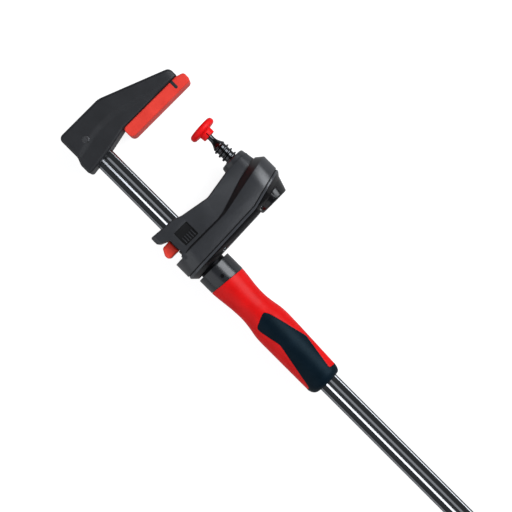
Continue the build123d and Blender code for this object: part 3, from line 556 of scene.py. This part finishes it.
def seam_at(y):
    """X of the seam between the two mouldings at y: a plane on each side of its bend, leaning forward
    by 14.7 degrees above it and by 2.2 degrees below."""
    above = y - seam_bend_y
    return seam_bend_x - above * np.tan(np.radians(np.where(above > 0, 14.7, 2.2)))


def opened_seam(mesh):
    """The cover's mesh with every corner that lies on the seam, to within 0.06 mm, moved back by the
    gap. This leaves a line between the mouldings, which the painted shade of the tongue below it
    darkens."""
    points = np.empty(len(mesh.vertices) * 3)
    mesh.vertices.foreach_get("co", points)
    points = points.reshape(-1, 3) / mm
    on_seam = np.abs(points[:, 0] - seam_at(points[:, 1])) < 0.06
    points[:, 0] += seam_gap * on_seam
    mesh.vertices.foreach_set("co", (points * mm).ravel())
    mesh.update()
    return mesh


def case_half(name, mesh, finish, slot, node, width):
    """One moulding of the case, on the arm's body, with every edge sharper than 25 degrees rounded off
    to width (millimetres), as a mould leaves it."""
    piece = fit_piece(name, mesh, finish, "arm", slot, node)
    bevel = piece.modifiers.new("mould_radius", "BEVEL")
    bevel.width = width * mm
    bevel.segments = 3
    bevel.limit_method = "ANGLE"
    bevel.angle_limit = math.radians(25)
    bevel.use_clamp_overlap = True
    bevel.harden_normals = True
    piece.data.shade_smooth()


arm_mesh = joined_faces("arm_housing")
cover_mesh = opened_seam(joined_faces("gear_cover"))
case_half("arm_moulding", arm_mesh, arm_plastic, "arm_plastic", "arm_housing", 0.4)
case_half("cover_moulding", cover_mesh, cover_plastic, "cover_plastic", "gear_cover", 0.35)
finish_node("cover_screws", screw_steel)


def recess_grid():
    """A near-black shallow tray over the floor and walls of the square recess, as painted shade in the
    hollow. Its rows are insets of its outline and the middle of its floor; the moulding's own ribs
    stand up through it."""
    corners, middle = [(73.3, -3.1), (86.2, -3.1), (86.2, 10.3), (73.3, 10.3)], (79.75, 3.6)
    insets, heights = (0.03, 0.10, 0.16, 0.5), np.array([17.48, 17.3, 16.62, 16.60, 16.60])
    rim = [inset_ring(corners, [0.6] * 4, inset, 5, 3) for inset in insets]
    rows = np.array(rim + [rim[-1] * 0 + middle])
    rows = np.concatenate([rows, rows[:, :1]], 1)
    height = heights[:, None, None]
    return np.concatenate([rows, height + 0 * rows[..., :1]], -1)


def tongue_grid():
    """Ring that closes the seam from inside, near-black as painted shade in the gap: the case's outline
    (a half circle round each of the outer axes, joined by straight sides) 0.8 mm below its surface,
    almost as wide as the gap, carried along the seam."""
    outer, inner, front, back = 18.2, 16.4, 0.02, seam_gap - 0.02
    turn = np.linspace(0, math.pi, 41)
    half_circle = np.stack([np.sin(turn), np.cos(turn)], -1)
    middle = np.repeat([spindle_y, 0.0], 41)
    along = np.linspace(0, 1, 21)[1:-1, None]
    rows = []
    for radius, step in ((outer, front), (outer, back), (inner, back), (inner, front), (outer, front)):
        arcs = radius * np.concatenate([half_circle, -half_circle])
        arcs[:, 0] += middle
        sides = [arcs[start] * (1 - along) + arcs[stop] * along for start, stop in ((40, 41), (81, 0))]
        loop = np.concatenate([arcs[:41], sides[0], arcs[41:], sides[1], arcs[:1]])
        rows.append(np.concatenate([seam_at(loop[:, :1]) + step, loop], -1))
    return np.array(rows)


# Painted shade: the seam's tongue and the recess tray are near-black, standing for the shade in the
# seam's gap and in the recess.
painted_shade_black = plastic(
    "painted_shade_black", (0.003, 0.003, 0.0035), (0.0045, 0.0045, 0.005), (0.5, 0.6), reflection=0.25
)
fit_piece("seam_tongue", surface("seam_tongue", [tongue_grid()], 30.0), painted_shade_black, "arm", None)
fit_piece("recess_painted_shade", surface("recess_painted_shade", [recess_grid()], 30.0), painted_shade_black, "arm", None)

# ---- Gear train ----
# Sintered steel gears on plain steel shafts, packed in the case and shut in by its cover. They turn
# the threaded nut, and a keyed bush in the nose keeps the spindle from turning with it.

gear_steel = steel("gear_steel", (0.03, 0.03, 0.032), (0.06, 0.06, 0.063), (0.35, 0.5))
nut_steel = steel("nut_steel", (0.10, 0.10, 0.105), (0.20, 0.20, 0.21), (0.3, 0.45))
# Painted shade: the drive gear is near-black, so that its hub in the gap between the case and the
# handle's collar stands for the shade in that gap.
hub_painted_shade = steel("hub_painted_shade", (0.006, 0.006, 0.0065), (0.012, 0.012, 0.013), (0.4, 0.55))
finish_node("drive_gear", hub_painted_shade)
for node in (
    "idler_gear_a", "idler_gear_b", "nut_gear",
    "idler_shaft_a", "idler_shaft_b", "thrust_washer",
):
    finish_node(node, gear_steel)
for node in ("spindle_nut", "guide_bush"):
    finish_node(node, nut_steel)

# ---- Spindle ----
# A steel bar with a ball end, a thin neck that flares out, and a rolled trapezoidal thread with a
# keyway along it. It is blackened in hot oxide and oiled, and its nut draws it through the case.

spindle_black = steel(
    "spindle_black", (0.05, 0.052, 0.055), (0.08, 0.082, 0.086), (0.14, 0.22), depth=0.002
)
ball_x = 36.5


def spindle_grid():
    """Rows run round the axis at an angle turn (0 towards +Y, a quarter towards +Z). Ball and neck
    are rows at one X: a circle arc, a straight neck, and a flare that grows as the 1.8th power of
    its run. Thread rows climb one pitch a turn, so that each follows one height of the thread's
    profile, and all stop at the thread's ends; the profile sets in over the run-out at the front. A
    keyway with a flat floor runs along the -Z side."""
    ball, neck, neck_end, thread_start, thread_end = 3.2, 2.3, 42.5, 49.3, 85.4
    crest, root, shoulder, pitch, crest_x, run_out = 6.0, 4.55, 5.05, 4.0, 47.6, 1.4
    key_start, key_floor, key_half = 50.0, 4.8, 10.5
    key_edges = [-101, -100.4, -79.6, -79]
    turn = np.radians(np.sort(np.concatenate([np.linspace(-180, 180, 61), key_edges])))
    around = turn / (2 * math.pi) + 0.5
    arc = np.linspace(math.pi, math.asin(neck / ball), 14)
    flare = np.linspace(0, 1, 10)
    flare_x = neck_end + (thread_start - neck_end) * flare
    plain_x = np.concatenate([ball_x + ball * np.cos(arc), [neck_end - 2], flare_x])
    plain_r = np.concatenate([ball * np.sin(arc), [neck], neck + (shoulder - neck) * flare**1.8])
    plain = np.stack(np.broadcast_arrays(plain_x[:, None], plain_r[:, None] + 0 * around), -1)
    phase = np.array([0, 0.07, 0.12, 0.21, 0.26, 0.5, 0.74, 0.79, 0.88, 0.93])
    height = np.array([1, 1, 0.9, 0.12, 0, 0, 0, 0.12, 0.9, 1])
    turns = np.arange(-2, int((thread_end - thread_start) / pitch) + 2)
    climb = (turns[:, None] + phase).ravel()[:, None] + around[None]
    raw_x = crest_x + pitch * climb
    x = np.clip(raw_x, thread_start, thread_end)
    lead = soft_step((x - thread_start) / run_out)
    r = root + (crest - root) * np.tile(height, len(turns))[:, None] * lead
    r = np.where(raw_x <= thread_start, shoulder, np.maximum(r, root + (shoulder - root) * (1 - lead)))
    r = np.where(raw_x >= thread_end, crest - 0.8, r)
    thread = np.stack([x, r], -1)
    close = np.stack(np.broadcast_arrays(np.full((1, 1), thread_end), 0 * around[None]), -1)
    rows = np.concatenate([plain, thread, close])
    from_key = np.abs(turn + math.pi / 2)
    floor = key_floor / np.cos(np.minimum(from_key, 1.0))
    floor = np.where(from_key < math.radians(key_half), floor, 2 * crest)
    radius = np.where(rows[..., 0] > key_start, np.minimum(rows[..., 1], floor), rows[..., 1])
    return np.stack([rows[..., 0], spindle_y + radius * np.cos(turn), radius * np.sin(turn)], -1)


fit_piece(
    "spindle_thread",
    surface("spindle_thread", [spindle_grid()], 32.0),
    spindle_black,
    "spindle",
    "spindle_black",
    "spindle",
)

# ---- Pressure plate ----
# A round red moulding with a flat face. The four springy quarters of its collar snap over the
# spindle's ball, so that the plate tilts to lie flat on the work.

plate_red = plastic(
    "plate_red", (0.73, 0.003, 0.004), (0.83, 0.006, 0.008), (0.38, 0.48), reflection=0.15
)
plate_tilt = math.radians(3.3)


def on_plate(along, radius, turn):
    """Points from their run along the plate's own axis (back from the ball's centre), their radius
    and their angle, with the axis swung about Z by the plate's tilt."""
    side, up = radius * np.cos(turn), radius * np.sin(turn)
    x = along * math.cos(plate_tilt) - side * math.sin(plate_tilt)
    y = along * math.sin(plate_tilt) + side * math.cos(plate_tilt)
    return np.stack([ball_x + x, spindle_y + y, up], -1)


def plate_disc_grid():
    """Disc turned about its axis: a flat front, a rim as half of an ellipse, a back that sweeps down
    to the collar (its rise as the square of its run), and the socket's floor behind."""
    front, half_thickness, flat_radius, rim_bulge, neck_radius = -7.35, 2.6, 9.35, 2.1, 5.5
    half_turn = np.linspace(-math.pi / 2, math.pi / 2, 15)
    rim_along = front + half_thickness + half_thickness * np.sin(half_turn)
    rim_radius = flat_radius + rim_bulge * np.cos(half_turn)
    sweep = np.linspace(0, 1, 9)[1:]
    back_along = front + 2 * half_thickness + 0.8 * sweep**2
    back_radius = flat_radius - (flat_radius - neck_radius) * (1 - (1 - sweep) ** 1.4)
    along = np.concatenate([[front], rim_along, back_along, [-0.2, -0.2, -3.2, -3.2]])
    radius = np.concatenate([[0], rim_radius, back_radius, [5.3, 3.4, 2.0, 0]])
    turn = np.linspace(0, 2 * math.pi, 97)
    return on_plate(along[:, None] + 0 * turn, radius[:, None] + 0 * turn, turn[None])


def plate_jaw_grid(start, stop):
    """One springy quarter of the collar: its section, a long box with rounded corners and a mouth
    that flares, carried round the axis from start to stop and closed to its middle at both ends."""
    along = np.array([-2.2, -2.2, 2.2, 2.65, 2.8, 2.8, 2.6, 1.2, 0.2, -2.2, -2.2])
    radius = np.array([4.4, 5.5, 5.25, 5.1, 4.8, 3.3, 3.05, 2.55, 3.25, 3.3, 4.4])
    size = np.array([0.0, 1.0] + [1.0] * 12 + [1.0, 0.0])[:, None]
    turn = np.concatenate([[start], np.linspace(start, stop, 14), [stop]])[:, None]
    middle_along, middle_radius = 0.3, 4.3
    along = middle_along + (along - middle_along) * size
    return on_plate(along, middle_radius + (radius - middle_radius) * size, turn)


slot_half = 0.085   # half of a slot's angle, in radians
quarters = [quarter * math.pi / 2 for quarter in range(5)]
plate_jaws = [
    plate_jaw_grid(start + slot_half, stop - slot_half) for start, stop in zip(quarters, quarters[1:])
]
fit_piece(
    "pressure_plate_moulding",
    surface("pressure_plate_moulding", [plate_disc_grid()] + plate_jaws, 40.0),
    plate_red,
    "plate",
    "plate_red",
    "pressure_plate",
)

# ---- Handle ----
# A red core moulded over the hub of the drive gear, a black rubber-like grip moulded over the core in
# two mirrored panels, and a black collar that a cross pin holds to the core.

handle_red = plastic(
    "handle_red", (0.65, 0.002, 0.002), (0.75, 0.004, 0.004), (0.38, 0.46), reflection=0.15
)
grip_black = plastic(
    "grip_black", (0.0015, 0.006, 0.011), (0.003, 0.009, 0.016), (0.42, 0.50), reflection=0.11
)
grip_shader = grip_black.node_tree.nodes["Principled BSDF"]
grip_shader.inputs["Specular Tint"].default_value = (0.55, 0.85, 1.0, 1.0)
collar_black = plastic(
    "collar_black",
    (0.012, 0.013, 0.015),
    (0.016, 0.017, 0.020),
    (0.22, 0.27),
    depth=0.004,
    reflection=0.6,
)
collar_end = 126.8
collar_slope = math.tan(math.radians(5.7))
handle_back = 235.2
handle_bore = 9.3
handle_wide = 15.0           # radius that panel widths and the collar's slant are measured at
grip_front = 162.9
grip_cap = 228.6
cap_run = 2.6                # length over which the red gaps between the panels close


def round_rail(x, radius, turn):
    """Points at x, at a radius from the rail's middle line and an angle round it (0 towards +Y)."""
    return np.stack([x + 0 * turn, radius * np.cos(turn), radius * np.sin(turn)], -1)


def averaged(line, width):
    """Running mean of an evenly spaced line of values, weighted by a bell of the given odd width."""
    bell = np.hanning(width)
    return np.convolve(np.pad(line, width // 2, "edge"), bell / bell.sum(), "valid")


def handle_radius(x, turn):
    """Radius of the handle at x and at an angle round it (0 towards +Y): a smooth curve through the
    collar, the waist and the full grip, whose waist lies 1.2 mm nearer the collar along the +Y edge
    than on average, an end rounded as a quarter of an ellipse, and a flat along the +Y edge that leans
    in towards the end. The flat holds the radius to its distance over the cosine of the angle from it,
    blended in softly."""
    knots = [111.9, 120, 126.8, 131.5, 137, 144, 151.5, 157, 162.5, 167, 171, 175.5, 180, 240]
    radii = [15.1, 15.1, 15.05, 14.65, 14.0, 13.15, 12.7, 12.85, 13.5, 14.3, 15.0, 15.3, 15.4, 15.4]
    fine = np.linspace(knots[0], knots[-1], 1200)
    curve = averaged(np.interp(fine, knots, radii), 41)
    lean = 1.2 * np.cos(turn) * soft_step((x - 134.0) / 18.0) * (1 - soft_step((x - 166.0) / 12.0))
    end_run, end_fall, flat_fall = 7.2, 5.4, 3.2
    into_end = np.clip((x - (handle_back - end_run)) / end_run, 0, 1)
    rounding = 1 - np.sqrt(np.clip(1 - into_end**2 * 0.999, 0, 1))
    round_form = np.interp(x + lean, fine, curve) - end_fall * rounding
    flat_start, flat_from, flat_reach, flat_lean, flat_blend = 166.0, 172.0, 15.7, 2.7, 0.5
    reach = flat_reach - flat_lean * (x - flat_from) / (handle_back - flat_from) - flat_fall * rounding
    off = np.cos(turn) + 0 * x
    flat = np.where((off > 0.3) & (x > flat_start), reach / np.maximum(off, 0.3), 99.0)
    gap = np.clip((flat - round_form) / flat_blend, -1, 1)
    return np.minimum(flat, round_form) - flat_blend / 4 * (1 - np.abs(gap)) ** 2


def grip_edges(x):
    """Lateral place of a grip panel's upper and lower edge at x, in millimetres off its middle line:
    straight runs of the chevron, averaged over 9 mm past the tip so that its bends are soft."""
    runs = np.linspace(grip_front, grip_cap, 1400)
    upper_x = [162.9, 163.3, 164.3, 166.4, 168.5, 198.5, grip_cap]
    lower_x = [162.9, 163.3, 164.4, 167.0, 168.0, 169.2, 170.6, 189.0, grip_cap]
    upper = np.interp(runs, upper_x, [2.2, 3.4, 4.5, 5.5, 6.1, 13.1, 8.3])
    lower = np.interp(runs, lower_x, [2.2, 0.9, -2.4, -8.4, -9.6, -10.0, -9.9, -6.0, -13.4])
    easing = soft_step((runs - 171.0) / 6.0)
    upper = upper * (1 - easing) + averaged(upper, 191) * easing
    lower = lower * (1 - easing) + averaged(lower, 191) * easing
    return np.interp(x, runs, upper), np.interp(x, runs, lower)


def panel_closing(x):
    """How far the red gaps between the panels have closed at x: from 0 to 1 over the cap's run."""
    return np.clip((x - (grip_cap - cap_run)) / cap_run, 0, 1)


def panel_span(x):
    """Angles of a panel's upper and lower edge from its middle, in radians: the arcsine of the
    lateral place over the radius. Along each edge of the handle the red gap to the mirrored panel
    closes as a rounded square end."""
    upper, lower = grip_edges(x)
    high = np.arcsin(np.clip(upper / handle_wide, -1, 1))
    low = np.arcsin(np.clip(lower / handle_wide, -1, 1))
    open_share = (1 - panel_closing(x) ** 3) ** (1 / 3)
    quarter = math.pi / 2
    return quarter - (quarter - high) * open_share, -quarter + (quarter + low) * open_share


def handle_core_grid():
    """Rows along X from the slanted joint with the collar, columns round: the handle's form, sunk
    half a millimetre under the panels, then down the end face and back along the bore."""
    turn = np.linspace(0, 2 * math.pi, 361)
    core_back, core_bore, joint_radius = grip_cap + 1.0, handle_bore + 0.4, 13.0
    sink, sink_run = 0.5, 0.5
    start = collar_end + collar_slope * handle_wide * np.cos(turn)
    x = start + (core_back - start) * np.linspace(0, 1, 230)[:, None]
    high, low = panel_span(np.minimum(x, grip_cap))
    lateral = np.arcsin(np.clip(np.cos(turn), -1, 1))
    inside = np.minimum(high - lateral, lateral - low) * handle_wide
    under_panel = soft_step((inside - 0.1) / sink_run) * (x > grip_front + 0.4)
    outer = round_rail(x, handle_radius(x, turn) - sink * under_panel, turn)
    bore = [round_rail(end_x, core_bore, turn) for end_x in (core_back, collar_end + 2.0)]
    joint = round_rail(start, joint_radius, turn)
    return np.concatenate([outer, np.array(bore), joint[None], outer[:1]])


def grip_panel_grid():
    """The +Z half of the grip. Rows run along X, and columns across from edge to edge: up a wall, over
    a quarter circle, across the face a hair proud of the core, and down again. Past the fingers the
    walls vanish, and the rows go over the rounded end into the bore."""
    roll, wall_depth, proud, dense_run = 0.9, 0.6, 0.12, 5.0
    x = np.concatenate([
        grip_front + dense_run * np.linspace(0, 1, 26) ** 1.6,
        np.linspace(168.2, grip_cap - 2.8, 110),
        grip_cap - cap_run + cap_run * np.sin(np.linspace(0, math.pi / 2, 14)),
        grip_cap + (handle_back - grip_cap) * np.sin(np.linspace(0.05, math.pi / 2, 16)),
    ])[:, None]
    high, low = panel_span(np.minimum(x, grip_cap))
    width = (high - low) * handle_wide
    quarter = roll * (1 - np.cos(np.linspace(0, math.pi / 2, 7)))
    from_edge = np.minimum(np.concatenate([[0.0], quarter])[None], width / 2)
    inner = np.linspace(0, 1, 32)[None, 1:-1]
    lateral = np.concatenate([
        from_edge,
        roll + inner * np.maximum(width - 2 * roll, 0) + np.minimum(width / 2 - roll, 0),
        width - from_edge[:, ::-1],
    ], 1)
    open_gap = 1 - panel_closing(x) ** 3
    depth_in = np.minimum(np.minimum(lateral, width - lateral), roll)
    fall = roll - np.sqrt(np.clip(roll**2 - (roll - depth_in) ** 2, 0, None))
    wall = np.zeros((1, lateral.shape[1]))
    wall[0, [0, -1]] = wall_depth
    turn = math.pi / 2 - (low + (high - low) * lateral / np.maximum(width, 1e-6))
    face = round_rail(x, handle_radius(x, turn) + proud - (fall + wall) * open_gap, turn)
    mouth_x = (handle_back, handle_back - 0.5, grip_cap + 1.0)
    mouth_radius = (handle_bore + 0.5, handle_bore, handle_bore)
    rings = [round_rail(ring_x, radius, turn[-1]) for ring_x, radius in zip(mouth_x, mouth_radius)]
    return np.concatenate([face, np.array(rings)])


fit_piece(
    "handle_core_moulding",
    surface("handle_core_moulding", [handle_core_grid()], 40.0),
    handle_red,
    "handle",
    "handle_red",
    "handle_core",
)
fit_piece(
    "handle_grip_moulding",
    surface("handle_grip_moulding", [grip_panel_grid(), grip_panel_grid() * (1, 1, -1)], 40.0),
    grip_black,
    "handle",
    "grip_black",
    "handle_grip",
)


def collar_grid():
    """Ring turned about X, from a chamfered front to the slanted joint, with a dimple over its pin:
    rows and columns stand close there, and the radius falls 1.5 mm inside the pin's circle."""
    front, radius, bore, joint_gap = 111.9, 15.05, 13.0, 0.12
    pin_x, pin_radius, pin_sink, pin_step = 121.4, 1.55, 1.5, 0.25
    turn = np.concatenate([np.linspace(0, 360, 145), np.linspace(80, 100, 121)])
    turn = np.radians(np.unique(np.round(turn, 3)))
    back = collar_end + collar_slope * handle_wide * np.cos(turn) - joint_gap
    chamfer_x = [front, front, 112.0, 112.25]
    row_x = np.concatenate([chamfer_x, np.linspace(113, 118.5, 6), np.linspace(118.9, 123.9, 61)])
    x = np.concatenate([row_x[:, None] + 0 * turn, [back - 0.25, back, back], 0 * turn[None] + front])
    r = np.concatenate([[bore, 14.7, 14.95, radius], np.full(67, radius), [radius, 14.85, bore, bore]])
    r = r[:, None] + 0 * turn
    off_pin = np.hypot(x - pin_x, r * np.cos(turn))
    on_top = (np.sin(turn) > 0) & (r > 14)
    return round_rail(x, r - pin_sink * soft_step((pin_radius - off_pin) / pin_step) * on_top, turn)


fit_piece(
    "handle_collar_ring",
    surface("handle_collar_ring", [collar_grid()], 40.0),
    collar_black,
    "handle",
    "collar_black",
    "handle_collar",
)
collar_pin_black = steel("collar_pin_black", (0.010, 0.010, 0.011), (0.02, 0.02, 0.021), (0.45, 0.6))
finish_node("collar_pin", collar_pin_black)

# ---- Quick release ----
# Two hardened plates that jam on the rail, a black wire spring behind them, and a red button moulded
# over their lower end.

lock_steel = steel("lock_steel", (0.10, 0.10, 0.105), (0.18, 0.18, 0.19), (0.35, 0.5))
spring_steel = steel("spring_steel", (0.02, 0.02, 0.022), (0.05, 0.05, 0.055), (0.3, 0.45))
button_red = plastic(
    "button_red", (0.97, 0.050, 0.028), (1.0, 0.070, 0.038), (0.34, 0.44), reflection=0.4
)
finish_node("lock_plates", lock_steel)
finish_node("lock_spring", spring_steel)


def button_grid():
    """Rows along Z, each the button's outline moved in by a quarter circle near both ends, and
    drawn to a point to close them. In its middle the rear top corner is drawn 1.9 mm forward over
    soft steps, so that the pressed button clears the spring."""
    corners = [(74.6, -17.1), (79.9, -20.0), (84.4, -20.0), (84.4, -9.3), (74.3, -9.3)]
    radii = [2.4, 2.4, 2.6, 0.7, 0.7]
    half, edge = 9.5, 2.2
    turn = np.linspace(0, math.pi / 2, 8)
    rounded_z = half - edge * (1 - np.sin(turn))
    z = np.concatenate([[half, half], rounded_z[::-1]])
    z = np.concatenate([-z, np.linspace(edge - half, half - edge, 34)[1:-1], z[::-1]])
    inset = np.interp(np.abs(z), rounded_z, edge * (1 - np.cos(turn)))
    rows = np.array([inset_ring(corners, radii, step, 9, 16) for step in inset])
    size = np.ones(len(z))
    size[[0, -1]], size[[1, -2]] = 0.0, 0.5
    middle = (79.4, -14.2)
    rows = middle + (rows - middle) * size[:, None, None]
    rows = np.concatenate([rows, rows[:, :1]], 1)
    x, y, z = rows[..., 0], rows[..., 1], z[:, None] + 0 * rows[..., 0]
    cut_depth, cut_y, cut_half, cut_front, cut_run = 1.9, -12.1, 6.8, 80.0, 4.4
    cut = soft_step((y - cut_y) / 0.7) * soft_step((cut_half - np.abs(z)) / 0.6)
    x = x - cut_depth * cut * np.maximum(x - cut_front, 0) / cut_run
    return np.stack([x, y, z], -1)


fit_piece(
    "button_moulding",
    surface("button_moulding", [button_grid()], 40.0),
    button_red,
    "release",
    "button_red",
    "release_button",
)
